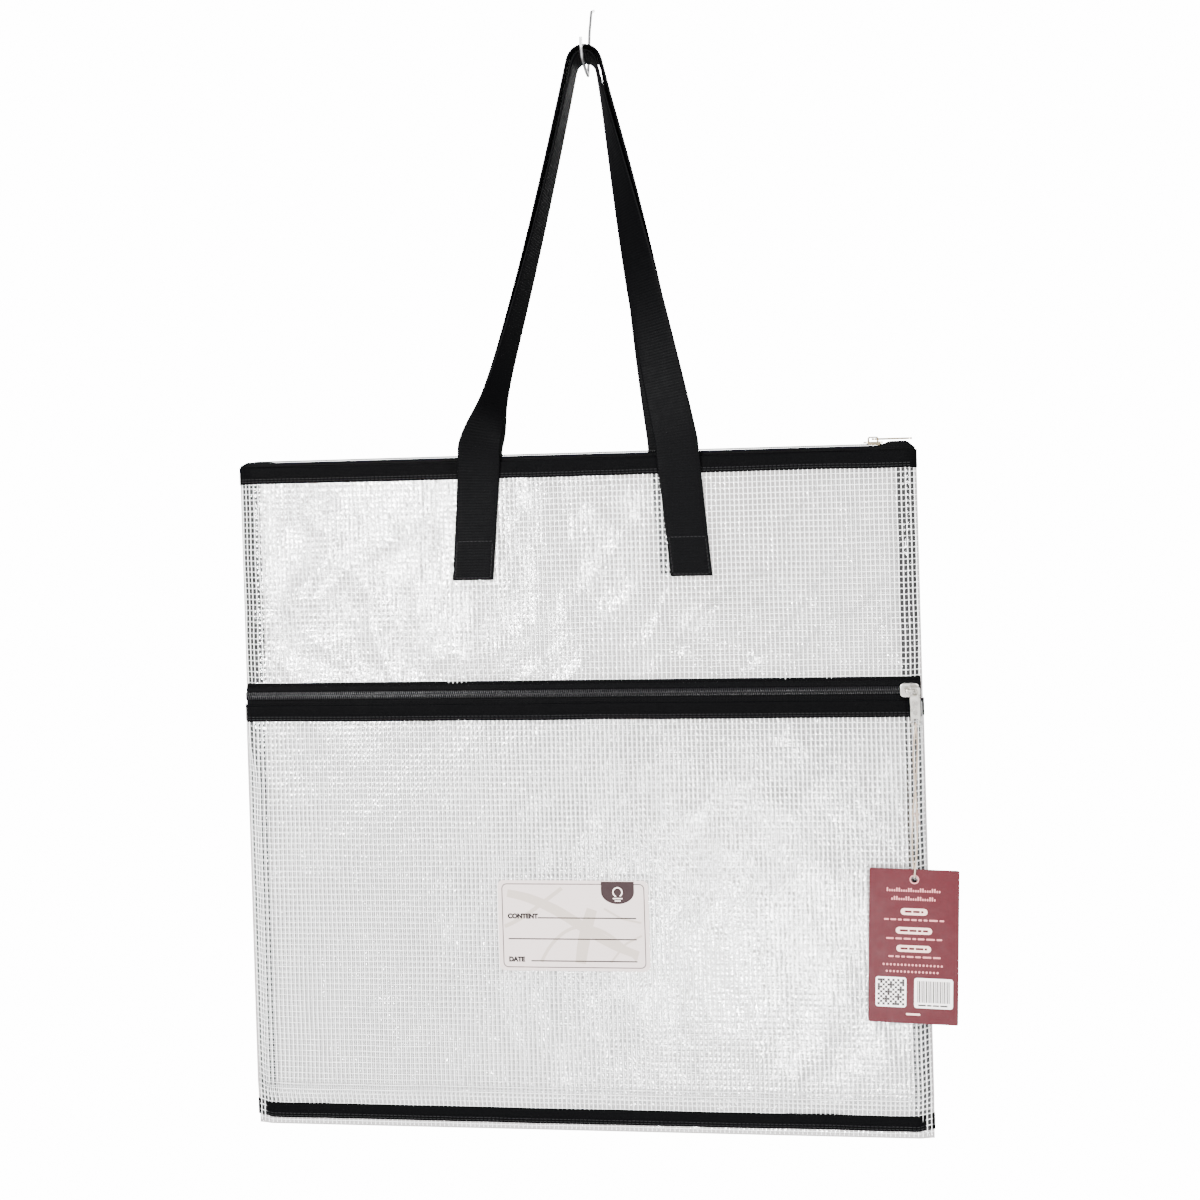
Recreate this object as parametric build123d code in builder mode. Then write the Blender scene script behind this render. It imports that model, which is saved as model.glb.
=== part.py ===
"""Knitting project bag: a flat zipped pouch of clear mesh vinyl with a zipped front pocket.

The bag hangs by its two webbing handles. Millimetres, +Z up, -Y towards the front of the bag,
+X to the right as seen from the front. The origin is the hang point, the underside of the front
handle where it lies over a hook.
"""

import os
from math import cos, pi, radians, sin, tan

from build123d import *

os.makedirs("parts", exist_ok=True)

# ---- driving dimensions -------------------------------------------------------------------

bag_width = 457.2  # 18 inches
bag_height = 457.2
hang_drop = 263.6  # hang point to the bag's top edge
hang_offset = 18.5  # the hook stands this far to the right of the bag's middle
plumb_lean = 2.04  # the bag hangs this many degrees off plumb, so its string and tag lean in it

sheet = 0.6  # mesh vinyl
binding = 0.5  # folded binding tape
tape = 0.5  # woven zip tape

body_depth = 5.1  # middle plane of the pouch to its front or back face
side_depth = 1.6  # the same at the side seams, where the two faces pinch together
pinch_run = 10.0  # width over which they pinch
bottom_radius = 4.6  # round fold at the bottom of the pouch

top_binding_height = 11.5
zip_rise = 4.5  # the top zip stands this far above its bindings
seam_width = 12.4  # side seam allowance, turned inside
seam_thickness = 1.2
seam_cover = 0.4  # side binding's thickness over each face of the seam allowance
seam_edge = 1.0  # side binding's outer edge to the side face's inside
seam_gap = 0.5  # clear height between the seam allowances and the top bindings
seam_lift = 1.0  # seam allowances start this far above the bottom's round fold

pocket_depth = 10.4  # middle plane to the pocket's front face
pocket_bottom = 7.5  # pocket's lower edge above the bag's bottom
pocket_lap = 11.0  # height of the strip where the pocket lies on the body
pocket_slope = 13.0  # height over which it then comes forward
pocket_strip_depth = 6.2  # middle plane to the front of that strip
pocket_binding_height = 10.5
band_top = 152.2  # bag's top edge down to the top of the pocket's zip band
pocket_chain = 160.1  # bag's top edge down to the pocket's chain
pocket_edge = 166.8  # bag's top edge down to the top of the pocket's binding
pocket_edge_height = 11.0

chain_gap = 0.6  # middle of a chain to the inner edge of each half
coil_width = 1.8
coil_height = 1.4
slider_length = 12.0
slider_width = 8.8
slider_plate = 1.0
bail_length = 6.0  # between the middles of the bail's two legs
bail_strip = 0.9
bail_width = 1.8
bail_top = 5.9  # height of the bail above the tapes
pull_plane = 4.2  # height of the pull's middle above the tapes
pull_thickness = 1.2
pull_width = 7.0
pull_reach = 22.0  # crossbar to the middle of the hole at the pull's other end
pull_hole = 2.1  # radius
top_slider_x = 201.0  # from the bag's middle
pocket_slider_x = 218.3

web_width = 28.0
web = 1.8  # webbing thickness
strap_end = 85.0  # sewn length of each strap below the top edge
hook_radius = 6.6  # inside of the front handle at the hang point
handle_gap = 1.7  # between the two handles at the hang point
foot_rise = 4.0  # each leg rises flat from the bag before it twists, clear of the zip's pull
leg_stations = (0, 0.06, 0.18, 0.38, 0.6, 0.8, 1)  # fractions of a leg's length
twist_ramp = 640.0  # degrees of twist per unit of leg at its foot, at most
leg_pull = 0.55  # how far down the leg its top direction carries

label_width, label_height, label_corner, label_thickness = 101.0, 60.5, 4.0, 0.4
label_x, label_drop = -5.0, 315.0  # middle of the label, from the bag's middle and top edge

tag_width, tag_height, tag_thickness, tag_corner = 57.0, 100.0, 0.6, 1.0
tag_hole, tag_hole_inset = 2.1, 6.5
string_diameter = 1.2
string_drop = 99.4  # from the fold in the pull's hole to the fold in the tag's hole
fold_clearance = 0.3  # between the string and each rim that it hangs on

# ---- levels and planes that follow --------------------------------------------------------

bag_x = -hang_offset
half = bag_width / 2
z_top = -hang_drop
z_bottom = z_top - bag_height
z_binding_top = z_top - zip_rise
z_sheet_top = z_binding_top - binding
z_binding_low = z_binding_top - top_binding_height
z_pocket = z_bottom + pocket_bottom
z_pocket_top = z_top - pocket_edge - binding
z_chain = z_top - pocket_chain
y_tape = -(pocket_depth - sheet - binding)  # outer face of the pocket's zip tapes
z_tape = z_top - coil_height  # outer face of the top zip's tapes


def write(name, part):
    """Labels a finished piece and writes its STEP file."""
    part.label = name
    export_step(part, f"parts/{name}.step")


# ---- the pouch ----------------------------------------------------------------------------


def pouch_outline(inset, side):
    """Plan of one half of the pouch, from its middle plane to the front (-1) or back (+1)."""
    outer = half - inset
    points = [
        (-outer, 0),
        (-outer, side_depth - inset),
        (-outer + pinch_run, body_depth - inset),
        (outer - pinch_run, body_depth - inset),
        (outer, side_depth - inset),
        (outer, 0),
    ]
    return [(bag_x + x, side * y) for x, y in points]


def pouch_block(inset):
    """Solid within the pouch's outer faces, moved in by inset on every side but the top."""
    low = z_bottom + inset
    with BuildPart() as block:
        with BuildSketch(Plane.XY.offset(low)):
            Polygon(*pouch_outline(inset, -1), align=None)
            Polygon(*pouch_outline(inset, 1), align=None)
        extrude(amount=z_sheet_top - low)
        with BuildSketch(Plane.YZ.offset(bag_x)) as side_view:
            with Locations((0, (low + z_sheet_top) / 2)):
                Rectangle(2 * (body_depth - inset), z_sheet_top - low)
            fillet(side_view.vertices().group_by(Axis.Y)[0], bottom_radius - inset)
        extrude(amount=half, both=True, mode=Mode.INTERSECT)
    return block.part


outer_block = pouch_block(0)

z_seam_low = z_bottom + bottom_radius + seam_lift
z_seam_top = z_binding_low - seam_gap

with BuildPart() as body_sheet:
    add(outer_block)
    add(pouch_block(sheet), mode=Mode.SUBTRACT)
    # seam allowances of the front and back faces, turned inwards at both sides
    with BuildSketch(Plane.XY.offset(z_seam_low)):
        with Locations(*[(bag_x + s * (half - sheet / 2 - seam_width / 2), 0) for s in (-1, 1)]):
            Rectangle(seam_width + sheet, seam_thickness)
    extrude(amount=z_seam_top - z_seam_low)
write("body_sheet", body_sheet.part)

for name, side in (("side_binding_left", -1), ("side_binding_right", 1)):
    inner = half - sheet - seam_width - binding
    outer = half - sheet - seam_edge
    with BuildPart() as side_binding:
        with BuildSketch(Plane.XY.offset(z_seam_low)):
            with Locations((bag_x + side * (inner + outer) / 2, 0)):
                Rectangle(outer - inner, seam_thickness + 2 * seam_cover)
        extrude(amount=z_seam_top - z_seam_low)
        add(body_sheet.part, mode=Mode.SUBTRACT)
    write(name, side_binding.part)

for name, side in (("top_binding_front", -1), ("top_binding_back", 1)):
    with BuildPart() as top_binding:
        with BuildSketch(Plane.XY.offset(z_binding_low)):
            Polygon(*pouch_outline(-binding, side), align=None)
            Polygon(*pouch_outline(sheet + binding, side), align=None, mode=Mode.SUBTRACT)
        extrude(amount=top_binding_height)
        add(outer_block, mode=Mode.SUBTRACT)
        with BuildSketch(Plane.XY.offset(z_binding_low)):
            Polygon(*pouch_outline(sheet, side), align=None)
            Polygon(*pouch_outline(sheet + binding, side), align=None, mode=Mode.SUBTRACT)
        extrude(amount=z_sheet_top - z_binding_low)
    write(name, top_binding.part)

# ---- top zip ------------------------------------------------------------------------------

top_zip_half = half - pinch_run - 1.5
y_tape_side = body_depth - sheet - binding - tape / 2

for name, side in (("front", -1), ("back", 1)):
    with BuildPart() as top_tape:
        with BuildSketch(Plane.YZ.offset(bag_x)):
            with BuildLine():
                FilletPolyline(
                    (side * chain_gap, z_tape - tape / 2),
                    (side * y_tape_side, z_tape - tape / 2),
                    (side * y_tape_side, z_binding_low + 1.0),
                    radius=tape,
                )
            trace(line_width=tape)
        extrude(amount=top_zip_half, both=True)
    write(f"top_zip_tape_{name}", top_tape.part)

    with BuildPart() as top_coil:
        with BuildSketch(Plane.YZ.offset(bag_x)):
            with Locations((side * (chain_gap + coil_width / 2), z_tape + coil_height / 2)):
                Rectangle(coil_width, coil_height)
        extrude(amount=top_zip_half, both=True)
    write(f"top_zip_coil_{name}", top_coil.part)

# ---- front pocket -------------------------------------------------------------------------


def pocket_profile(inset):
    """Side view of the pocket, moved in by inset from its front face, back to the middle plane."""
    strip = -(pocket_strip_depth - inset)
    front = -(pocket_depth - inset)
    return [
        (0, z_pocket),
        (strip, z_pocket),
        (strip, z_pocket + pocket_lap),
        (front, z_pocket + pocket_lap + pocket_slope),
        (front, z_pocket_top),
        (0, z_pocket_top),
    ]


with BuildPart() as pocket_panel:
    with BuildSketch(Plane.YZ.offset(bag_x)):
        Polygon(*pocket_profile(0), align=None)
    extrude(amount=half, both=True)
    with BuildSketch(Plane.YZ.offset(bag_x)):
        Polygon(*pocket_profile(sheet), align=None)
    extrude(amount=half - sheet, both=True, mode=Mode.SUBTRACT)
    add(outer_block, mode=Mode.SUBTRACT)
write("pocket_panel", pocket_panel.part)


def edge_binding(y_front, z_low, z_high, fold_up):
    """Binding folded over a pocket edge whose front face is at y_front."""
    fold = z_high if fold_up else z_low - binding
    with BuildPart() as part:
        with BuildSketch(Plane.YZ.offset(bag_x)):
            with Locations((y_front - binding / 2, (z_low + z_high) / 2)):
                Rectangle(binding, z_high - z_low)
            with Locations((y_front + sheet / 2, fold + binding / 2)):
                Rectangle(sheet + 2 * binding, binding)
        extrude(amount=half, both=True)
        with BuildSketch(Plane.YZ.offset(bag_x)):
            with Locations((y_front + sheet + binding / 2, (z_low + z_high) / 2)):
                Rectangle(binding, z_high - z_low)
        extrude(amount=half - sheet, both=True)
    return part.part


z_edge_low = z_pocket_top + binding - pocket_edge_height
write(
    "pocket_top_binding",
    edge_binding(-pocket_depth, z_edge_low, z_pocket_top, True),
)
write(
    "pocket_bottom_binding",
    edge_binding(-pocket_strip_depth, z_pocket, z_pocket + pocket_binding_height - binding, False),
)

# ---- pocket zip ---------------------------------------------------------------------------

pocket_zip_half = half - sheet - 1.4
y_tape_middle = y_tape + tape / 2
z_shoulder = z_chain + slider_width / 2 + 0.2  # the upper tape turns back above the slider

with BuildPart() as tape_upper:
    with BuildSketch(Plane.YZ.offset(bag_x)):
        with BuildLine():
            Polyline(
                (y_tape_middle, z_chain + chain_gap),
                (y_tape_middle, z_shoulder),
                (-(body_depth + tape / 2), z_shoulder + 1.2),
                (-(body_depth + tape / 2), z_top - band_top),
            )
        trace(line_width=tape)
    extrude(amount=pocket_zip_half, both=True)
write("pocket_zip_tape_upper", tape_upper.part)

with BuildPart() as tape_lower:
    with BuildSketch(Plane.YZ.offset(bag_x)):
        z_low = z_edge_low + 1.0
        with Locations((y_tape_middle, (z_low + z_chain - chain_gap) / 2)):
            Rectangle(tape, z_chain - chain_gap - z_low)
    extrude(amount=pocket_zip_half, both=True)
write("pocket_zip_tape_lower", tape_lower.part)

for name, side in (("upper", 1), ("lower", -1)):
    with BuildPart() as pocket_coil:
        with BuildSketch(Plane.YZ.offset(bag_x)):
            z_coil = z_chain + side * (chain_gap + coil_width / 2)
            with Locations((y_tape - coil_height / 2, z_coil)):
                Rectangle(coil_height, coil_width)
        extrude(amount=pocket_zip_half, both=True)
    write(f"pocket_zip_coil_{name}", pocket_coil.part)

# ---- sliders and pulls --------------------------------------------------------------------


def make_slider(seat):
    """Zip slider. seat lies on the tapes' outer face, x along the chain and z outwards."""
    top = coil_height + 0.2
    bottom = -tape - 0.2 - slider_plate
    nose = slider_length / 2 - 2.0
    with BuildPart() as part:
        with BuildSketch(seat.offset(top)):
            RectangleRounded(slider_length, slider_width, 2.4)
        extrude(amount=slider_plate)
        fillet(part.faces().sort_by(Axis(seat.origin, seat.z_dir))[-1].edges(), 0.4)
        with BuildSketch(seat.offset(bottom)):
            RectangleRounded(slider_length - 1.0, slider_width - 2.8, 1.8)
        extrude(amount=slider_plate)
        with BuildSketch(seat.offset(0.3)):
            with Locations((0, slider_width / 2 - 0.4), (0, -slider_width / 2 + 0.4)):
                Rectangle(slider_length - 5.0, 0.8)
        extrude(amount=top - 0.3)
        with BuildSketch(seat.offset(bottom + slider_plate)):
            with Locations((nose, 0)):
                Rectangle(2.0, 2 * chain_gap - 0.4)
        extrude(amount=top - bottom - slider_plate)
        bail_plane = Plane(seat.origin, x_dir=seat.x_dir, z_dir=-seat.y_dir)
        low = top + slider_plate
        with BuildSketch(bail_plane) as bail:
            with Locations((0, (low - 0.2 + bail_top) / 2)):
                Rectangle(bail_length + bail_strip, bail_top - low + 0.2)
            fillet(bail.vertices().group_by(Axis.Y)[-1], 1.5)
            with Locations((0, (low - 0.4 + bail_top - bail_strip) / 2)):
                RectangleRounded(
                    bail_length - bail_strip, bail_top - bail_strip - low + 0.4, 0.7, mode=Mode.SUBTRACT
                )
            with Locations((0, low - 0.1)):
                Rectangle(bail_length + bail_strip, 0.2)
        extrude(amount=bail_width / 2, both=True)
    return part.part


def make_pull(seat):
    """Pull tab. seat is at the middle of its crossbar, x along the tab."""
    bar = 0.6  # half the crossbar's depth
    end_radius = pull_width / 2 - 0.4
    with BuildPart() as part:
        with BuildSketch(seat) as outline:
            Polygon(
                (-bar, -pull_width / 2),
                (pull_reach, -end_radius),
                (pull_reach, end_radius),
                (-bar, pull_width / 2),
                align=None,
            )
            fillet(outline.vertices().group_by(Axis.X)[0], 1.3)
            with Locations((pull_reach, 0)):
                Circle(end_radius)
                Circle(pull_hole, mode=Mode.SUBTRACT)
            with Locations((bar + 2.15, 0)):
                RectangleRounded(4.3, 2.8, 0.6, mode=Mode.SUBTRACT)
        extrude(amount=pull_thickness / 2, both=True)
        chamfer(part.faces().filter_by(Plane(seat.origin, z_dir=seat.z_dir)).edges(), 0.22)
    return part.part


top_seat = Plane((bag_x + top_slider_x, 0, z_tape), x_dir=(1, 0, 0), z_dir=(0, 0, 1))
pocket_seat = Plane((bag_x + pocket_slider_x, y_tape, z_chain), x_dir=(1, 0, 0), z_dir=(0, -1, 0))
write("top_zip_slider", make_slider(top_seat))
write("pocket_zip_slider", make_slider(pocket_seat))

# the top pull lies along the chain, its crossbar in the middle of the bail
write("top_zip_pull", make_pull(top_seat.offset(pull_plane)))

# the pocket's pull has slipped round the bail's right leg and hangs down from it
x_leg = bag_x + pocket_slider_x + bail_length / 2
y_pull = y_tape - pull_plane
z_crossbar = z_chain + bail_width / 2 + 0.35 + 0.6
write(
    "pocket_zip_pull",
    make_pull(Plane((x_leg, y_pull, z_crossbar), x_dir=(0, 0, -1), z_dir=(0, -1, 0))),
)

# ---- handles ------------------------------------------------------------------------------

z_foot = z_top + 0.5
strap_y = body_depth + binding + web / 2  # middle of the strap where it crosses the top binding

# the straps of the front handle are sewn a little further right than those of the back one:
# side, strap's x at the top edge and at its sewn end, lean of the leg at the hook, twist power
front_legs = (
    ("left", -59.6, -66.8, -13.0, 0.16),
    ("right", 72.8, 80.0, 10.0, 1.1),
)
back_legs = (
    ("left", -61.0, -70.0, -13.0, 0.16),
    ("right", 66.5, 73.5, 10.0, 1.1),
)


def handle_leg(side, x_top, lean, power, radius):
    """One leg of a handle, from the top edge up to the bend over the hook."""
    arc_z = -hook_radius
    turn = radians(abs(lean))
    across = 1 if lean > 0 else -1
    foot = Vector(bag_x + x_top, side * strap_y, z_foot + foot_rise)
    head = Vector(across * radius * cos(turn), 0, arc_z + radius * sin(turn))
    length = (head - foot).length
    middle = head + Vector(across * sin(turn), 0, -cos(turn)) * leg_pull * length
    line = Bezier(foot, middle, head)
    with BuildPart() as part:
        with BuildSketch(Plane.XY.offset(z_foot)):
            with Locations((foot.X, foot.Y)):
                Rectangle(web_width, web)
        extrude(amount=foot_rise)
        for t in leg_stations:
            up = (line % t) if t > 0 else Vector(0, 0, 1)
            level = Vector(0, 1, 0).cross(up).normalized()
            backward = up.cross(level)
            twist = radians(min(90 * t**power, twist_ramp * t))
            along = level * cos(twist) - backward * (across * sin(twist))
            with BuildSketch(Plane(line @ t, x_dir=along, z_dir=up)):
                Rectangle(web_width, web)
        loft()
    return part.part


def handle_loop(side, radius, legs):
    """A whole handle above the top edge: two twisted legs and the bend over the hook."""
    ends = [abs(lean) for _, _, _, lean, _ in legs]
    with BuildPart() as part:
        with BuildSketch(Plane.XZ):
            with BuildLine():
                CenterArc((0, -hook_radius), radius, ends[1], 180 - ends[0] - ends[1])
            trace(line_width=web)
        extrude(amount=web_width / 2, both=True)
        for _, x_top, _, lean, power in legs:
            add(handle_leg(side, x_top, lean, power, radius))
    return part.part


def strap_outline(x_top, x_end, z_low, z_high):
    """The part of a sewn strap's outline between two heights."""
    slope = (x_top - x_end) / strap_end
    reach = web_width / 2
    low = bag_x + x_end + slope * (z_low - z_top + strap_end)
    high = bag_x + x_end + slope * (z_high - z_top + strap_end)
    return [(low - reach, z_low), (low + reach, z_low), (high + reach, z_high), (high - reach, z_high)]


def sewn_end(side, x_top, x_end):
    """Strap sewn to the body and over the top binding."""
    with BuildPart() as part:
        with BuildSketch(Plane.XZ.offset(-side * body_depth)):
            Polygon(*strap_outline(x_top, x_end, z_top - strap_end, z_binding_low), align=None)
        extrude(amount=-side * web)
        with BuildSketch(Plane.XZ.offset(-side * (body_depth + binding))):
            Polygon(*strap_outline(x_top, x_end, z_binding_low, z_top), align=None)
        extrude(amount=-side * web)
    return part.part


for name, side, radius, legs in (
    ("front_handle", -1, hook_radius + web / 2, front_legs),
    ("back_handle", 1, hook_radius + web + handle_gap + web / 2, back_legs),
):
    write(f"{name}_loop", handle_loop(side, radius, legs))
    for leg, x_top, x_end, _, _ in legs:
        write(f"{name}_end_{leg}", sewn_end(side, x_top, x_end))

# ---- label --------------------------------------------------------------------------------

with BuildPart() as project_label:
    with BuildSketch(Plane.XZ.offset(pocket_depth)):
        with Locations((bag_x + label_x, z_top - label_drop)):
            RectangleRounded(label_width, label_height, label_corner)
    extrude(amount=label_thickness)
write("project_label", project_label.part)

# ---- tag and string -----------------------------------------------------------------------

# The string hangs plumb, in its own frame: across, depth and drop below the pull's hole.
z_string = z_crossbar - pull_reach - pull_hole + string_diameter / 2 + fold_clearance
lean_sin, lean_cos = sin(radians(plumb_lean)), cos(radians(plumb_lean))


def hung(across, depth, drop):
    """A point of the string's own frame, in the bag's."""
    x = x_leg + across * lean_cos - drop * lean_sin
    z = z_string - across * lean_sin - drop * lean_cos
    return (x, y_pull + depth, z)


string_route = [
    (0, -0.1, 0),
    (0, -1.2, 0.05),
    (-0.1, -1.9, 0.85),
    (-0.4, -1.85, 2.4),
    (-0.8, -1.7, 5.4),
    (-1.3, -1.3, 11.0),
    (-1.5, -1.0, 21.0),
    (-0.4, -0.9, 38.0),
    (1.2, -0.85, 56.0),
    (1.5, -0.95, 72.0),
    (1.1, -1.1, 84.0),
    (0.5, -1.25, 91.0),
    (0.1, -1.3, 95.6),
    (0, -1.3, string_drop),
    (0, 1.3, string_drop),
    (-0.1, 1.3, 95.6),
    (-0.6, 1.2, 90.5),
    (-1.3, 1.0, 83.0),
    (-1.6, 0.9, 70.0),
    (-0.9, 0.85, 54.0),
    (0.7, 0.85, 37.0),
    (1.5, 0.95, 21.0),
    (1.4, 1.25, 11.0),
    (0.9, 1.6, 5.4),
    (0.4, 1.85, 2.4),
    (0.1, 1.9, 0.85),
    (0, 1.2, 0.05),
    (0, 0.1, 0),
]
points = [Vector(*hung(*point)) for point in string_route]
runs = [after - before for before, after in zip(points, points[1:])]
radii = [
    0.45 * min(before.length, after.length) / tan(radians(before.get_angle(after) / 2))
    for before, after in zip(runs, runs[1:])
]
with BuildPart() as tag_string:
    with BuildLine() as route:
        FilletPolyline(*points, radius=radii)
    with BuildSketch(Plane(route.line @ 0, z_dir=route.line % 0)):
        Circle(string_diameter / 2)
    sweep()
write("tag_string", tag_string.part)

# the string bears on the upper rim of the tag's hole
hole_x, _, hole_z = hung(0, 0, string_drop + tag_hole - string_diameter / 2 - fold_clearance)
tag_seat = Plane(
    (hole_x, y_pull + tag_thickness / 2, hole_z),
    x_dir=(lean_cos, 0, -lean_sin),
    z_dir=(0, -1, 0),
)
with BuildPart() as hang_tag:
    with BuildSketch(tag_seat):
        with Locations((0, tag_hole_inset - tag_height / 2)):
            RectangleRounded(tag_width, tag_height, tag_corner)
        Circle(tag_hole, mode=Mode.SUBTRACT)
    extrude(amount=tag_thickness)
write("hang_tag", hang_tag.part)

# ---- report -------------------------------------------------------------------------------

route_length = sum(edge.length for edge in route.line.edges())
tube = pi * (string_diameter / 2) ** 2 * route_length
print("string radii", [round(r, 1) for r in radii])
print("string length", round(route_length, 1), "volume ratio", round(tag_string.part.volume / tube, 4))
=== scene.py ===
"""Looks of the knitting project bag: clear mesh vinyl, black bindings, zips, webbing, label and tag.

Lengths are millimetres in the part's own frame and become metres where a mesh is made.
"""

import math

import bpy
import numpy as np
from mathutils import Matrix, Vector


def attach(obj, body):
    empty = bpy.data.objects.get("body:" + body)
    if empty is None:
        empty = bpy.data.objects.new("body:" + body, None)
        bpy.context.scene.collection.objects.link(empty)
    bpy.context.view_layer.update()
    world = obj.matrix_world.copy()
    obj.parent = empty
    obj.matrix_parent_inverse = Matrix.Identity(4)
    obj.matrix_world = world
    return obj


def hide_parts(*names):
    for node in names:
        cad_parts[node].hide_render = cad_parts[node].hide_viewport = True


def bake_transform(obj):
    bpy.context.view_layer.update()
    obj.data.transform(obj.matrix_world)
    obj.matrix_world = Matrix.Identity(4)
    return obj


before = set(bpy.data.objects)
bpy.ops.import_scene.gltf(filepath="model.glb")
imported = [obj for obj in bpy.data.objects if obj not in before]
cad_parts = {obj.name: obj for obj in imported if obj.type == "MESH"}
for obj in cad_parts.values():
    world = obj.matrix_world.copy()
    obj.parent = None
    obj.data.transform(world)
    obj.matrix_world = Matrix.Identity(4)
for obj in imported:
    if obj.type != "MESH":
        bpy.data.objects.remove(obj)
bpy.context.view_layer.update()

MM = 0.001

# ---- sizes shared with the part -----------------------------------------------------------

bag_x = -18.5  # middle of the bag
half = 228.6
z_top = -263.6
z_bottom = -720.8
z_binding_top = -268.1
z_sheet_top = -268.6
z_binding_low = -279.6
body_depth = 5.1
side_depth = 1.6
bottom_radius = 4.6
z_pocket = -713.3
z_lap = -702.3
z_slope = -689.3
z_pocket_top = -430.9
z_chain = -423.7
y_pocket = -10.4
y_strip = -6.2
y_tape = -9.3
z_tape = -265.0
web_width, web = 28.0, 1.8
x_leg, y_pull, z_string = 202.8, -13.5, -445.05
plumb_lean = math.radians(2.04)
label_x, label_z = -23.5, -578.6
strap_middles = (-66.5, 74.0)  # of the sewn ends, from the middle of the bag


# ---- meshes -------------------------------------------------------------------------------


def piece(name, points, faces, material, body=None, sharp=40):
    """A mesh from points in millimetres, riding on a body."""
    mesh = bpy.data.meshes.new(name)
    mesh.from_pydata((np.asarray(points, float) * MM).tolist(), [], faces)
    mesh.shade_smooth()
    mesh.set_sharp_from_angle(angle=math.radians(sharp))
    mesh.materials.append(material)
    made = bpy.data.objects.new(name, mesh)
    bpy.context.scene.collection.objects.link(made)
    if body:
        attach(made, body)
    return made


def rings(grid, capped=True, offset=0):
    """Faces that join rings of points. grid is how many rings, and points in each."""
    count, size = grid
    faces = []
    for i in range(count - 1):
        low = offset + i * size
        for k in range(size):
            after = (k + 1) % size
            faces.append((low + k, low + after, low + size + after, low + size + k))
    if capped:
        faces.append(tuple(offset + k for k in reversed(range(size))))
        faces.append(tuple(offset + (count - 1) * size + k for k in range(size)))
    return faces


def strip(section, steps, place):
    """Points and faces of a section carried along a path. place(a, b, t) puts a section point."""
    points = []
    for t in np.linspace(0, 1, steps):
        points += [place(a, b, t) for a, b in section]
    return points, rings((steps, len(section)))


def rounded(width, height, corner, per_corner=3):
    """Outline of a rounded rectangle about the origin."""
    outline = []
    for quarter in range(4):
        sx, sy = ((1, 1), (-1, 1), (-1, -1), (1, -1))[quarter]
        for k in range(per_corner + 1):
            angle = math.radians(90 * (quarter + k / per_corner))
            x = sx * (width / 2 - corner) + corner * math.cos(angle)
            y = sy * (height / 2 - corner) + corner * math.sin(angle)
            outline.append((x, y))
    return outline


def thick_line(centre, thickness):
    """Closed outline of a line of (a, b) points given that thickness."""
    line = np.asarray(centre, float)
    run = np.gradient(line, axis=0)
    run /= np.linalg.norm(run, axis=1)[:, None]
    normal = np.stack([-run[:, 1], run[:, 0]], axis=1) * thickness / 2
    return [tuple(p) for p in line + normal] + [tuple(p) for p in (line - normal)[::-1]]


def add_pill(points, faces, centre, axis, across, out, ends=0.55):
    """Adds a small rounded bar. axis, across and out are its half sizes as vectors."""
    centre, axis, across, out = (np.asarray(v, float) for v in (centre, axis, across, out))
    start = len(points)
    for reach, scale in ((-1, ends), (-0.78, 1), (0.78, 1), (1, ends)):
        for k in range(6):
            angle = math.pi * k / 3
            ring = across * math.cos(angle) + out * math.sin(angle)
            points.append(centre + axis * reach + ring * scale)
    faces += rings((4, 6), offset=start)


def smooth(value):
    """Eases a value between 0 and 1."""
    value = np.clip(value, 0, 1)
    return value * value * (3 - 2 * value)


def noise(u, v, seed):
    """Smooth noise from -1 to 1, the same on every run."""
    table = np.random.default_rng(seed).uniform(-1, 1, (64, 64))
    u, v = np.asarray(u, float), np.asarray(v, float)
    i, j = np.floor(u).astype(int), np.floor(v).astype(int)
    a, b = smooth(u - i), smooth(v - j)
    low = table[i % 64, j % 64] * (1 - a) + table[(i + 1) % 64, j % 64] * a
    high = table[i % 64, (j + 1) % 64] * (1 - a) + table[(i + 1) % 64, (j + 1) % 64] * a
    return low * (1 - b) + high * b


# ---- materials ----------------------------------------------------------------------------


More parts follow.
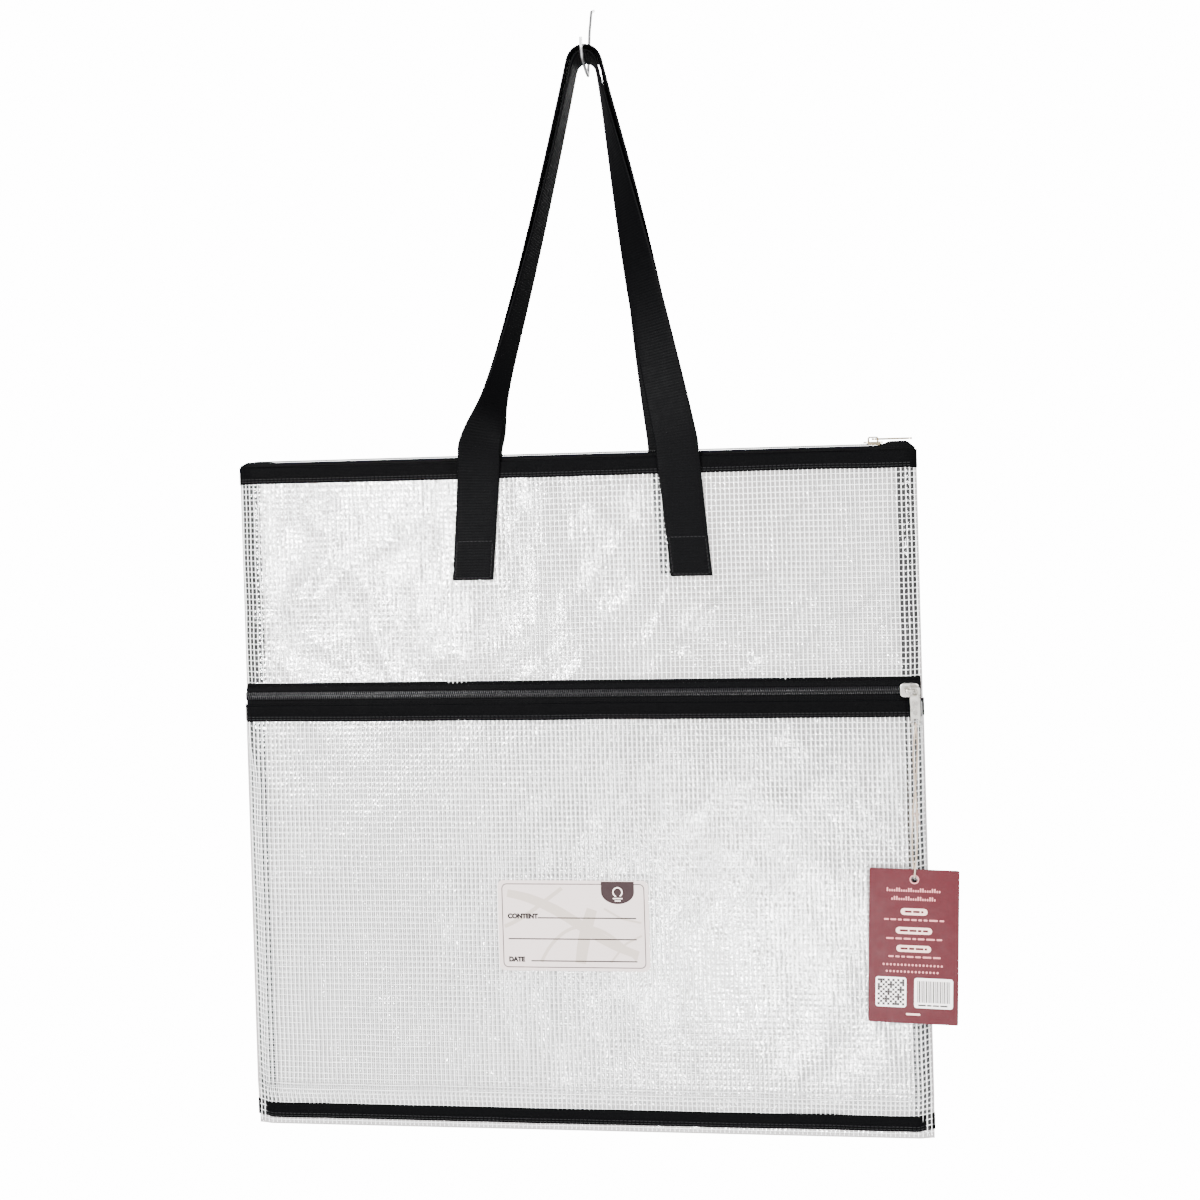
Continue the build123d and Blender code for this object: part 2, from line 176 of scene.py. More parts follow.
class Shader:
    """A node material with a few helpers. Patterns use object coordinates, in metres."""

    def __init__(self, name, colour, roughness, metallic=0.0, sheen=0.0, coat=0.0, specular=0.5):
        self.material = bpy.data.materials.new(name)
        self.material.use_nodes = True
        self.nodes = self.material.node_tree.nodes
        self.links = self.material.node_tree.links
        self.bsdf = self.nodes["Principled BSDF"]
        self.bsdf.inputs["Base Color"].default_value = (*colour, 1)
        self.bsdf.inputs["Roughness"].default_value = roughness
        self.bsdf.inputs["Metallic"].default_value = metallic
        self.bsdf.inputs["Sheen Weight"].default_value = sheen
        self.bsdf.inputs["Coat Weight"].default_value = coat
        self.bsdf.inputs["Specular IOR Level"].default_value = specular
        self.where = self.nodes.new("ShaderNodeTexCoord").outputs["Object"]
        self.height = None

    def join(self, source, target):
        self.links.new(source, target)

    def noise(self, scale, detail=3.0, stretch=(1, 1, 1)):
        mapping = self.nodes.new("ShaderNodeMapping")
        mapping.inputs["Scale"].default_value = stretch
        self.join(self.where, mapping.inputs["Vector"])
        made = self.nodes.new("ShaderNodeTexNoise")
        made.inputs["Scale"].default_value = scale
        made.inputs["Detail"].default_value = detail
        self.join(mapping.outputs["Vector"], made.inputs["Vector"])
        return made.outputs["Fac"]

    def wave(self, axis, pitch, distortion=0.0):
        """Bands along X, Y or Z that repeat every pitch millimetres."""
        made = self.nodes.new("ShaderNodeTexWave")
        made.bands_direction = axis
        made.inputs["Scale"].default_value = 2 * math.pi / (20 * pitch * MM)
        made.inputs["Distortion"].default_value = distortion
        made.inputs["Detail"].default_value = 0.0
        self.join(self.where, made.inputs["Vector"])
        return made.outputs["Fac"]

    def math(self, operation, first, second):
        made = self.nodes.new("ShaderNodeMath")
        made.operation = operation
        for socket, value in zip(made.inputs, (first, second)):
            if isinstance(value, (int, float)):
                socket.default_value = value
            else:
                self.join(value, socket)
        return made.outputs[0]

    def ramp(self, value, low, high):
        """Maps a value from 0..1 to low..high."""
        made = self.nodes.new("ShaderNodeMapRange")
        made.inputs["To Min"].default_value = low
        made.inputs["To Max"].default_value = high
        self.join(value, made.inputs["Value"])
        return made.outputs[0]

    def colour(self, value, dark, light):
        made = self.nodes.new("ShaderNodeMix")
        made.data_type = "RGBA"
        made.inputs[6].default_value = (*dark, 1)
        made.inputs[7].default_value = (*light, 1)
        self.join(value, made.inputs[0])
        self.join(made.outputs[2], self.bsdf.inputs["Base Color"])

    def rough(self, value, low, high):
        self.join(self.ramp(value, low, high), self.bsdf.inputs["Roughness"])

    def bump(self, value, distance, strength=1.0):
        """Adds a relief of that height in millimetres, on top of any before it."""
        made = self.nodes.new("ShaderNodeBump")
        made.inputs["Distance"].default_value = distance * MM
        made.inputs["Strength"].default_value = strength
        self.join(value, made.inputs["Height"])
        if self.height is not None:
            self.join(self.height, made.inputs["Normal"])
        self.height = made.outputs["Normal"]
        self.join(self.height, self.bsdf.inputs["Normal"])


def woven(name, dark, light, across, along, pitch, relief, roughness, sheen=0.0, specular=0.12):
    """Cloth of two crossing thread directions."""
    made = Shader(name, light, roughness, sheen=sheen, specular=specular)
    weave = made.math("MULTIPLY", made.wave(across, pitch), made.wave(along, pitch * 1.3))
    lint = made.noise(900, 4)
    threads = made.math("MULTIPLY", weave, 0.6)
    specks = made.math("MULTIPLY", lint, 0.4)
    made.colour(made.math("ADD", threads, specks), dark, light)
    made.rough(made.noise(120, 3), roughness - 0.1, roughness + 0.1)
    made.bump(weave, relief)
    made.bump(lint, relief * 0.5)
    return made.material


def metal(name, colour, roughness):
    """Plated die casting with faint casting marks and handling wear."""
    made = Shader(name, colour, roughness, metallic=1.0)
    worn = made.noise(260, 5)
    made.colour(worn, [c * 0.82 for c in colour], colour)
    made.rough(worn, roughness - 0.08, roughness + 0.14)
    made.bump(made.noise(900, 3), 0.03)
    made.bump(made.noise(140, 2), 0.06)
    return made.material


def film_material():
    """Clear soft vinyl: mostly see-through, with a sharp reflection and a faint haze."""
    made = Shader("vinyl_film", (0.1, 0.1, 0.1), 0.16, specular=1.0)
    made.bsdf.inputs["IOR"].default_value = 3.0
    cells = made.math("MULTIPLY", made.wave("X", 3.0), made.wave("Z", 3.8))
    made.rough(made.noise(70, 4), 0.08, 0.22)
    made.bump(made.noise(34, 5, (1, 1, 0.6)), 3.2)
    made.bump(made.noise(150, 3), 0.5)
    made.bump(cells, 0.16)
    clear = made.nodes.new("ShaderNodeBsdfTransparent")
    clear.inputs["Color"].default_value = (0.955, 0.957, 0.96, 1)
    mix = made.nodes.new("ShaderNodeMixShader")
    haze = made.ramp(made.noise(30, 4), 0.16, 0.3)
    made.join(haze, mix.inputs[0])
    made.join(clear.outputs[0], mix.inputs[1])
    made.join(made.bsdf.outputs[0], mix.inputs[2])
    made.join(mix.outputs[0], made.nodes["Material Output"].inputs["Surface"])
    return made.material


def thread_material():
    made = Shader("grid_thread", (0.8, 0.8, 0.79), 0.45, sheen=0.2)
    made.colour(made.noise(160, 3), (0.8, 0.8, 0.79), (0.93, 0.93, 0.92))
    made.rough(made.noise(90, 2), 0.3, 0.55)
    made.bump(made.noise(1500, 2), 0.05)
    return made.material


def webbing_material():
    made = Shader("webbing_black", (0.001, 0.001, 0.0012), 0.45, specular=0.03)
    lint = made.noise(1100, 4)
    made.colour(lint, (0.0002, 0.0002, 0.0003), (0.0016, 0.0016, 0.0019))
    made.rough(made.noise(200, 3), 0.42, 0.66)
    made.bump(lint, 0.16)
    made.bump(made.noise(2600, 2), 0.06)
    return made.material


def card_material(name, dark, light):
    made = Shader(name, light, 0.45, specular=0.2)
    made.colour(made.noise(420, 5), dark, light)
    made.rough(made.noise(180, 3), 0.34, 0.52)
    made.bump(made.noise(1400, 3), 0.03)
    return made.material


def ink(name, colour, spread=0.85):
    made = Shader(name, colour, 0.5, specular=0.25)
    made.colour(made.noise(700, 4), [c * spread for c in colour], colour)
    made.rough(made.noise(200, 2), 0.4, 0.6)
    made.bump(made.noise(1600, 2), 0.02)
    return made.material


def cotton_material(name, dark, light):
    made = Shader(name, light, 0.85, sheen=0.1, specular=0.2)
    made.colour(made.noise(1300, 5), dark, light)
    made.rough(made.noise(500, 2), 0.75, 0.95)
    made.bump(made.noise(3200, 3), 0.12)
    return made.material


film = film_material()
thread = thread_material()
deep_black = (0.0002, 0.0002, 0.0003)
binding = woven(
    "binding_black", deep_black, (0.0016, 0.0016, 0.0019), "X", "Z", 0.75, 0.2, 0.55, specular=0.025
)
zip_cloth = woven(
    "zip_tape_black", deep_black, (0.0018, 0.0018, 0.0021), "X", "Z", 0.95, 0.22, 0.55, specular=0.03
)
webbing = webbing_material()
sewing = cotton_material("sewing_thread_black", (0.001, 0.001, 0.0012), (0.006, 0.006, 0.007))
satin = woven("label_satin", (0.5, 0.42, 0.4), (0.58, 0.5, 0.48), "X", "Z", 0.7, 0.05, 0.45, 0.1, 0.4)
cotton = cotton_material("cotton_cream", (0.26, 0.2, 0.15), (0.46, 0.38, 0.3))
knot_cotton = cotton_material("cotton_knot", (0.3, 0.2, 0.17), (0.48, 0.36, 0.32))
card = card_material("tag_card", (0.04, 0.0012, 0.004), (0.06, 0.0018, 0.0055))
gold = metal("slider_gold", (0.83, 0.68, 0.43), 0.24)
nickel = metal("slider_nickel", (0.86, 0.83, 0.76), 0.26)

coil = Shader("coil_nylon", (0.005, 0.005, 0.006), 0.32, specular=0.3)
coil.colour(coil.noise(500, 3), (0.002, 0.002, 0.0024), (0.01, 0.01, 0.011))
coil.rough(coil.noise(300, 2), 0.22, 0.45)
coil.bump(coil.noise(1500, 2), 0.04)

# ---- shapes of the vinyl ------------------------------------------------------------------


def quiet(x, z):
    """0 where the vinyl lies flat under a seam, strap or binding, and 1 where it is free."""
    x = np.asarray(x, float) - bag_x
    edge = smooth((half - 3 - abs(x)) / 22)
    top = smooth((z_binding_low - z) / 18)
    foot = smooth((z - z_bottom - 6) / 16)
    held = edge * top * foot
    for middle in strap_middles:
        sideways = smooth((abs(x - middle) - 19) / 14)
        below = smooth((z_top - 87 - z) / 16)
        held = held * np.maximum(sideways, below)
    return held


def creases(x, z, seed, size=1.0):
    """Long soft waves with narrower diagonal folds across them, 1 high or so."""
    x, z = np.asarray(x, float), np.asarray(z, float)
    bend = 14 * noise(x / 60, z / 60, seed + 5)
    soft = noise(x / 84, z / 66, seed)
    one = 1 - 2 * abs(noise((x + 0.7 * z + bend) / (30 * size), (z - x) / 95, seed + 1)) ** 0.6
    two = 1 - 2 * abs(noise((x - 0.9 * z + bend) / (26 * size), (z + x) / 88, seed + 2)) ** 0.6
    small = noise(x / 12, z / 10, seed + 3)
    return 0.5 * soft + 0.27 * one + 0.27 * two + 0.12 * small


def pouch_depth(x, z):
    """Half the depth of the pouch."""
    inside = half - abs(np.asarray(x, float) - bag_x)
    depth = side_depth + (body_depth - side_depth) * smooth(inside / 10)
    depth = depth * np.sqrt(np.clip(inside / 1.2, 0, 1))
    rise = np.clip((np.asarray(z, float) - z_bottom) / bottom_radius, 0, 1)
    return depth * np.sqrt(1 - (1 - rise) ** 2)


def front_face(x, z):
    free = smooth((np.asarray(z, float) - z_pocket_top - 8) / 20) * 0.75 + 0.25
    return -pouch_depth(x, z) - 2.9 * quiet(x, z) * free * creases(x, z, 11)


def back_face(x, z):
    return pouch_depth(x, z) + 2.0 * quiet(x, z) * creases(x, z, 31, 1.3)


def pocket_pinch(x, z):
    """How far the pocket stands off the body: 1 inside, falling to 0.25 at the side seams."""
    run = 4 + 9 * smooth((-445 - np.asarray(z, float)) / 40)
    inside = half - abs(np.asarray(x, float) - bag_x)
    return 0.25 + 0.75 * smooth(inside / run)


def pocket_level(z):
    """Depth of the pocket's front before it is pinched at the sides."""
    z = np.asarray(z, float)
    return y_strip + (y_pocket - y_strip) * smooth((z - z_lap) / (z_slope - z_lap))


def pocket_face(x, z):
    x, z = np.asarray(x, float), np.asarray(z, float)
    still = smooth((z_pocket_top - 12 - z) / 22) * smooth((z - z_lap) / 22)
    about = np.maximum(abs(x - label_x) / 60, abs(z - label_z) / 38)
    still = still * smooth((about - 0.85) / 0.5)
    return pocket_level(z) * pocket_pinch(x, z) - 1.1 * quiet(x, z) * still * creases(x, z, 51, 1.5)


def film_sheet(x_cells, z_cells, face, z_low, z_high):
    """Grid of film points and faces over a face."""
    x = bag_x + np.linspace(-half, half, x_cells + 1)
    z = np.linspace(z_low, z_high, z_cells + 1)
    if z_low == z_bottom:
        fold = z_bottom + bottom_radius * (1 - np.cos(np.linspace(0, math.pi / 2, 6)))
        z = np.concatenate([fold, np.linspace(fold[-1] + 2, z_high, z_cells - 5)])
    gx, gz = np.meshgrid(x, z, indexing="ij")
    points = np.stack([gx, face(gx, gz), gz], axis=-1).reshape(-1, 3)
    rows = len(z)
    corner = np.arange(len(x) - 1)[:, None] * rows + np.arange(rows - 1)[None, :]
    quads = np.stack([corner, corner + rows, corner + rows + 1, corner + 1], axis=-1)
    return points, quads.reshape(-1, 4)


def thread_grid(face, z_low, z_high, out, across_x=3.0, across_z=3.8, step=9.0):
    """Woven-in threads of the vinyl, both ways, as thin four-sided rods that follow its face."""
    blocks = []
    columns = np.arange(-half + 2.0, half - 1.6, across_x) + bag_x
    levels = np.arange(z_high - 1.5, z_low + 0.8, -across_z)
    along_z = np.linspace(z_low, z_high, int((z_high - z_low) / step) + 1)
    along_x = bag_x + np.linspace(-half + 0.8, half - 0.8, int(2 * half / step) + 1)
    for lines, stations, upright in ((columns, along_z, True), (levels, along_x, False)):
        fixed, run = np.meshgrid(lines, stations, indexing="ij")
        x, z = (fixed, run) if upright else (run, fixed)
        drift = 0.28 * noise(x / 30, z / 30, 71 + upright)
        wide, deep = (0.29, 0.2) if upright else (0.25, 0.2)
        lift = out * (0.1 if upright else -0.1)
        middle = np.stack([x, face(x, z) + lift, z], axis=-1)
        middle[..., 0 if upright else 2] += drift
        side = np.array((1, 0, 0) if upright else (0, 0, 1), float) * wide
        depth = np.array((0, 1, 0), float) * deep
        ring = np.stack([middle + side, middle + depth, middle - side, middle - depth], axis=2)
        count, length = x.shape
        first = (np.arange(count)[:, None] * length + np.arange(length - 1)[None, :]) * 4
        for k in range(4):
            after = (k + 1) % 4
            quads = np.stack([first + k, first + after, first + 4 + after, first + 4 + k], axis=-1)
            blocks.append((ring.reshape(-1, 3) if k == 0 else None, quads.reshape(-1, 4)))
    points, faces, start, base = [], [], 0, 0
    for block, quads in blocks:
        if block is not None:
            base = start
            points.append(block)
            start += len(block)
        faces.append(quads + base)
    return np.concatenate(points), np.concatenate(faces).tolist()


front_points, front_quads = film_sheet(150, 150, front_face, z_bottom, z_sheet_top)
back_points, back_quads = film_sheet(150, 150, back_face, z_bottom, z_sheet_top)
body_points = np.concatenate([front_points, back_points])
body_faces = front_quads.tolist() + (back_quads[:, ::-1] + len(front_points)).tolist()
body_film = piece("body_film", body_points, body_faces, film, "bag", 80)
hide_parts("body_sheet")

points, faces = thread_grid(front_face, z_bottom + 3, z_sheet_top - 1, -1)
front_threads = piece("body_threads_front", points, faces, thread, "bag", 80)
points, faces = thread_grid(back_face, z_bottom + 3, z_sheet_top - 1, 1)
back_threads = piece("body_threads_back", points, faces, thread, "bag", 80)

points, quads = film_sheet(150, 90, pocket_face, z_pocket, z_pocket_top)
pocket_film = piece("pocket_film", points, quads.tolist(), film, "bag", 80)
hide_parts("pocket_panel")
points, faces = thread_grid(pocket_face, z_pocket + 1, z_pocket_top - 1, -1)
pocket_threads = piece("pocket_threads", points, faces, thread, "bag", 80)

# ---- bindings -----------------------------------------------------------------------------


def sway(x, seed, high=0.35):
    """Small rise and fall of a sewn edge along the bag."""
    return high * float(noise(x / 46, 0.5, seed)) + 0.12 * float(noise(x / 9, 0.5, seed + 1))


def stitch_row(name, x_low, x_high, place, pitch=2.7):
    """A row of lockstitches. place(x) gives a stitch's middle."""
    points, faces = [], []
    for x in np.arange(x_low, x_high, pitch):
        middle = np.array(place(x))
        run = (np.array(place(x + 0.5)) - middle) * 2.0
        add_pill(points, faces, middle, run * 1.05, (0, 0, 0.2), (0, 0.17, 0))
    return piece(name, points, faces, sewing, "bag")


def cloth_edge(name, node, y_out, y_in, z_low, z_high, pinch, seed, x_reach=half + 0.3):
    """A binding folded over an edge of vinyl, with two rows of stitches on its outer face."""
    y_mid, z_mid = (y_out + y_in) / 2, (z_low + z_high) / 2
    section = rounded(abs(y_in - y_out), z_high - z_low, 0.62, 3)

    def place(a, b, t):
        x = bag_x + (2 * t - 1) * x_reach
        fullness = 1 - 0.35 * (b / (z_high - z_low) * 2) ** 2 * 0.3
        swell = 1 + 0.05 * smooth((abs(x - bag_x) - half + 5) / 5)
        y = (y_mid + a * fullness * swell) * float(pinch(x, z_mid))
        y += 0.14 * float(noise(x / 17, b / 9 + 3, seed + 2))
        return (x, y, z_mid + b * swell + sway(x, seed))

    points, faces = strip(section, 230, place)
    edge = piece(name, points, faces, binding, "bag")
    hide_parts(node)
    made = [edge]
    out = math.copysign(0.04, y_out)
    for row, level in (("low", z_low + 1.7), ("high", z_low + 3.3)):
        if row == "high" and "pocket_bottom" in name:
            continue

        def on_face(x):
            y = (y_out + out) * float(pinch(x, z_mid)) + 0.14 * float(noise(x / 17, 3, seed + 2))
            return (x, y, level + sway(x, seed))

        made.append(stitch_row(f"{name}_stitches_{row}", bag_x - half + 3, bag_x + half - 4, on_face))
    return made


def pouch_pinch(x, z):
    return pouch_depth(x, z_top) / body_depth * 0.92 + 0.08


top_front = cloth_edge(
    "top_binding_cloth_front", "top_binding_front", -5.65, -3.95, z_binding_low, z_binding_top, pouch_pinch, 3
)
top_back = cloth_edge(
    "top_binding_cloth_back", "top_binding_back", 5.65, 3.95, z_binding_low, z_binding_top, pouch_pinch, 5
)
pocket_top = cloth_edge(
    "pocket_binding_cloth_top", "pocket_top_binding", -10.95, -9.4, -441.4, -430.4, pocket_pinch, 7
)
pocket_low = cloth_edge(
    "pocket_binding_cloth_bottom", "pocket_bottom_binding", -6.75, -5.15, -713.8, -703.3, pocket_pinch, 9
)

for name, side in (("left", -1), ("right", 1)):
    inner, outer = half - 13.5, half - 1.7
    section = rounded(outer - inner, 2.1, 0.8, 3)
    z_low, z_high = z_bottom + 5.6, z_binding_low - 0.5

    def place(a, b, t):
        z = z_low + (z_high - z_low) * t
        wander = 0.5 * float(noise(z / 40, 0.5, 81 + side)) + 0.15 * float(noise(z / 8, 0.5, 85))
        lean = 0.5 * float(noise(z / 25, 2.5, 83 + side))
        return (bag_x + side * ((inner + outer) / 2 + a) + wander, b * (1 + 0.2 * lean) + 0.3 * lean, z)

    points, faces = strip(section, 220, place)
    side_cloth = piece(f"side_binding_cloth_{name}", points, faces, binding, "bag")
    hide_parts(f"side_binding_{name}")

# ---- zips ---------------------------------------------------------------------------------


def tape_strip(name, node, centre, reach, pinch, seed, rise=lambda x: 0.0, steps=240):
    """Zip tape: its section's middle line, as (y, z) points, carried along the bag and lifted by rise."""
    section = thick_line(centre, 0.55)
    z_seam = max(z for _, z in centre)

    def place(a, b, t):
        x = bag_x + (2 * t - 1) * reach
        shift = 0.5 * sway(x, seed) * min(abs(b - z_seam) / 3, 1)
        return (x, a * float(pinch(x, -430)), b + shift + rise(x) * smooth((b - z_seam + 6) / 6))

    points, faces = strip(section, steps, place)
    made = piece(name, points, faces, zip_cloth, "bag")
    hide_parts(node)
    return made


def end_rise(x):
    """The top tape bulges past its slider at the right end, a little at the left, and dips at both."""
    across = x - bag_x
    right = 2.7 * smooth((across - 204) / 9) * smooth((228.5 - across) / 7)
    left = 0.7 * smooth((-across - 205) / 9) * smooth((228.5 + across) / 7)
    dip = -1.6 * smooth((abs(across) - 222) / 6)
    return float(right + left + dip)


for name, side in (("front", -1), ("back", 1)):
    rim = [(side * 0.15, -265.25), (side * 1.6, -265.2), (side * 2.7, -265.25), (side * 3.4, -265.6)]
    rim += [(side * 3.72, -266.4), (side * 3.75, -268.0), (side * 3.75, -272.0), (side * 3.75, -278.6)]
    tape_strip(f"top_zip_cloth_{name}", f"top_zip_tape_{name}", rim, 227.6, pouch_pinch, 21, end_rise)

upper = [(-9.05, -423.6), (-9.05, -421.0), (-9.0, -419.2), (-8.5, -418.3), (-6.2, -417.4), (-5.6, -416.9)]
upper += [(-5.4, -415.8)]
tape_strip("pocket_zip_cloth_upper", "pocket_zip_tape_upper", upper, 226.6, pocket_pinch, 23)
lower = [(-9.05, -423.8), (-9.05, -427.0), (-9.05, -432.0), (-9.05, -440.4)]
tape_strip("pocket_zip_cloth_lower", "pocket_zip_tape_lower", lower, 226.6, pocket_pinch, 25)


def teeth(name, nodes, reach, place, across, out, pitch=1.4):
    """Both rows of a nylon coil, each tooth a small rounded bar meeting the other row's."""
    points, faces = [], []
    for side in (-1, 1):
        for x in np.arange(-reach + 0.5 + (0.35 if side > 0 else -0.35), reach - 0.5, pitch):
            middle = np.array(place(bag_x + x)) + np.array(across) * side * 1.05
            add_pill(points, faces, middle, np.array(across) * 1.35, (0.4, 0, 0), np.array(out) * 0.62, 0.6)
    made = piece(name, points, faces, coil.material, "bag", 50)
    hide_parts(*nodes)


teeth(
    "top_zip_teeth",
    ("top_zip_coil_front", "top_zip_coil_back"),
    217.1,
    lambda x: (x, 0, z_tape + 0.68),
    (0, 1, 0),
    (0, 0, 1),
)
teeth(
    "pocket_zip_teeth",
    ("pocket_zip_coil_upper", "pocket_zip_coil_lower"),
    226.4,
    lambda x: (x, (y_tape - 0.68) * float(pocket_pinch(x, -430)), z_chain),
    (0, 0, 1),
    (0, 1, 0),
)

for node in ("top_zip_slider", "top_zip_pull"):
    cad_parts[node].data.materials.clear()
    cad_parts[node].data.materials.append(gold)
for node in ("pocket_zip_slider", "pocket_zip_pull"):
    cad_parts[node].data.materials.clear()
    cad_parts[node].data.materials.append(nickel)
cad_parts["hang_tag"].data.materials.clear()
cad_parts["hang_tag"].data.materials.append(card)

# ---- handles ------------------------------------------------------------------------------

# x at the top edge and at the sewn end, lean at the hook, twist power
front_legs = ((-59.6, -66.8, -13.0, 0.16), (72.8, 80.0, 10.0, 1.1))
back_legs = ((-61.0, -70.0, -13.0, 0.16), (66.5, 73.5, 10.0, 1.1))
hook_radius = 6.6
front_radius, back_radius = 7.5, 11.0  # of each strap's middle where it bends over the hook
foot_rise = 4.0


def leg_frames(side, x_top, lean, power, radius):
    """Middle points and width directions from the top edge to the hook."""
    turn = math.radians(abs(lean))
    across = 1 if lean > 0 else -1
    foot = Vector((bag_x + x_top, side * 6.5, z_top + 0.5 + foot_rise))
    head = Vector((across * radius * math.cos(turn), 0, -hook_radius + radius * math.sin(turn)))
    length = (head - foot).length
    middle = head + Vector((across * math.sin(turn), 0, -math.cos(turn))) * 0.55 * length
    frames = []
    for t in np.linspace(0, 1, 60):
        point = foot * (1 - t) ** 2 + middle * 2 * t * (1 - t) + head * t**2
        up = ((middle - foot) * (1 - t) + (head - middle) * t).normalized() if t > 0 else Vector((0, 0, 1))
        level = Vector((0, 1, 0)).cross(up).normalized()
        backward = up.cross(level)
        twist = math.radians(min(90 * t**power, 640 * t))
        along = level * math.cos(twist) - backward * (across * math.sin(twist))
        frames.append((point, along))
    return frames


def sewn_frames(side, x_top, x_end):
    """Middle points and width directions of a sewn end, from its lower edge up."""
    frames = []
    on_vinyl = [(-85, 6.0), (-60, 6.0), (-35, 6.0), (-20, 6.0)]
    on_binding = [(-16.6, 6.05), (-14.6, 6.45), (-8, 6.5), (0, 6.5)]
    for z, y in on_vinyl + on_binding:
        x = x_top + (x_end - x_top) * (-z / 85)
        frames.append((Vector((bag_x + x, side * y, z_top + z)), Vector((1, 0, 0))))
    return frames


def strap_frames(side, radius, legs):
    """The whole strap, from its left sewn end over the hook to its right one."""
    left, right = legs
    frames = sewn_frames(side, left[0], left[1])
    frames += leg_frames(side, left[0], left[2], left[3], radius)
    for degrees in np.linspace(155, 15, 15):
        angle = math.radians(degrees)
        point = Vector((radius * math.cos(angle), 0, -hook_radius + radius * math.sin(angle)))
        frames.append((point, Vector((0, 1, 0))))
    down = leg_frames(side, right[0], right[2], right[3], radius)[::-1]
    down += sewn_frames(side, right[0], right[1])[::-1]
    return frames + [(point, -along) for point, along in down]


def resample(frames, step):
    """Evenly spaced points, width directions and lengths along the frames."""
    points = np.array([p for p, _ in frames])
    widths = np.array([w for _, w in frames])
    gone = np.concatenate([[0], np.cumsum(np.linalg.norm(np.diff(points, axis=0), axis=1))])
    wanted = np.arange(0, gone[-1], step)
    pick = [np.interp(wanted, gone, points[:, k]) for k in range(3)]
    turn = [np.interp(wanted, gone, widths[:, k]) for k in range(3)]
    turn = np.stack(turn, axis=1)
    return np.stack(pick, axis=1), turn / np.linalg.norm(turn, axis=1)[:, None], wanted


def softened(values, spread):
    """Values averaged along the strap, with its ends held."""
    reach = int(3 * spread)
    weights = np.exp(-0.5 * (np.arange(-reach, reach + 1) / spread) ** 2)
    weights /= weights.sum()
    padded = np.concatenate([np.repeat(values[:1], reach, 0), values, np.repeat(values[-1:], reach, 0)])
    return np.stack([np.convolve(padded[:, k], weights, "valid") for k in range(3)], axis=1)


def strap(name, side, radius, legs, nodes):
    """One ribbed webbing strap from its left sewn end over the hook to its right one."""
    middles, widths, gone = resample(strap_frames(side, radius, legs), 0.475)
    widths = softened(widths, 44)
    widths /= np.linalg.norm(widths, axis=1)[:, None]
    near_bag = smooth((z_top + 34 - middles[:, 2]) / 28)
    middles[:, 1] += side * (web_width / 2) * abs(widths[:, 1]) * near_bag
    middles = softened(middles, 5)
    runs = np.gradient(middles, axis=0)
    runs /= np.linalg.norm(runs, axis=1)[:, None]
    normals = np.cross(widths, runs)
    normals /= np.linalg.norm(normals, axis=1)[:, None]
    half_width, half_web = web_width / 2, web / 2
    lanes = [-1.0, -0.97, -0.9, -0.6, -0.3, 0, 0.3, 0.6, 0.9, 0.97, 1.0]
    body_of_lane = [0.35, 0.8, 1, 1, 1, 1, 1, 1, 1, 0.8, 0.35]
    points = []
    for middle, width, normal, s in zip(middles, widths, normals, gone):
        rib = 0.13 * math.cos(2 * math.pi * s / 1.9)
        waver = 0.15 * math.sin(s / 23 + side)
        for sign in (1, -1):
            order = range(len(lanes)) if sign > 0 else reversed(range(len(lanes)))
            for k in order:
                ripple = 0.04 * math.sin(2 * math.pi * (lanes[k] * 7 + s / 3.8))
                thick = (half_web - 0.13 + rib + ripple) * body_of_lane[k]
                points.append(middle + width * (lanes[k] * (half_width + waver)) + normal * sign * thick)
    faces = rings((len(middles), 2 * len(lanes)))
    made = piece(name, points, faces, webbing, sharp=60)
    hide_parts(*nodes)
    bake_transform(made)
    return made


for name, side, radius, legs in (
    ("front_handle", -1, front_radius, front_legs),
    ("back_handle", 1, back_radius, back_legs),
):
    nodes = (f"{name}_loop", f"{name}_end_left", f"{name}_end_right")
    strap(f"{name}_strap", side, radius, legs, nodes)
    points, faces = [], []
    for x_top, x_end, _, _ in legs:
        corners = [(-12, -82.5), (12, -82.5), (12, -58), (-12, -58)]
        lines = [(0, 1), (1, 2), (2, 3), (3, 0)]
        for a, b in lines:
            start, end = np.array(corners[a], float), np.array(corners[b], float)
            length = np.linalg.norm(end - start)
            for s in np.arange(1.2, length - 0.8, 2.6):
                u, v = start + (end - start) * s / length
                x = bag_x + x_top + (x_end - x_top) * (-v / 85) + u
                direction = (end - start) / length
                axis = (direction[0] * 1.0, 0, direction[1] * 1.0)
                sideways = (-direction[1] * 0.22, 0, direction[0] * 0.22)
                add_pill(points, faces, (x, side * 6.92, z_top + v), axis, sideways, (0, 0.2, 0))
    piece(f"{name}_stitches", points, faces, sewing, "bag")

# ---- label --------------------------------------------------------------------------------


def flat_piece(name, outline, y_back, y_front, material, body, place):
    """A thin plate with that outline. place(u, v) gives the x and z of an outline point."""
    count = len(outline)
    points = []
    for y in (y_back, y_front):
        for u, v in outline:
            x, z = place(u, v)
            points.append((x, y, z))
    faces = [tuple(range(count)), tuple(reversed(range(count, 2 * count)))]
    for k in range(count):
        after = (k + 1) % count
        faces.append((k, count + k, count + after, after))
    return piece(name, points, faces, material, body, 30)


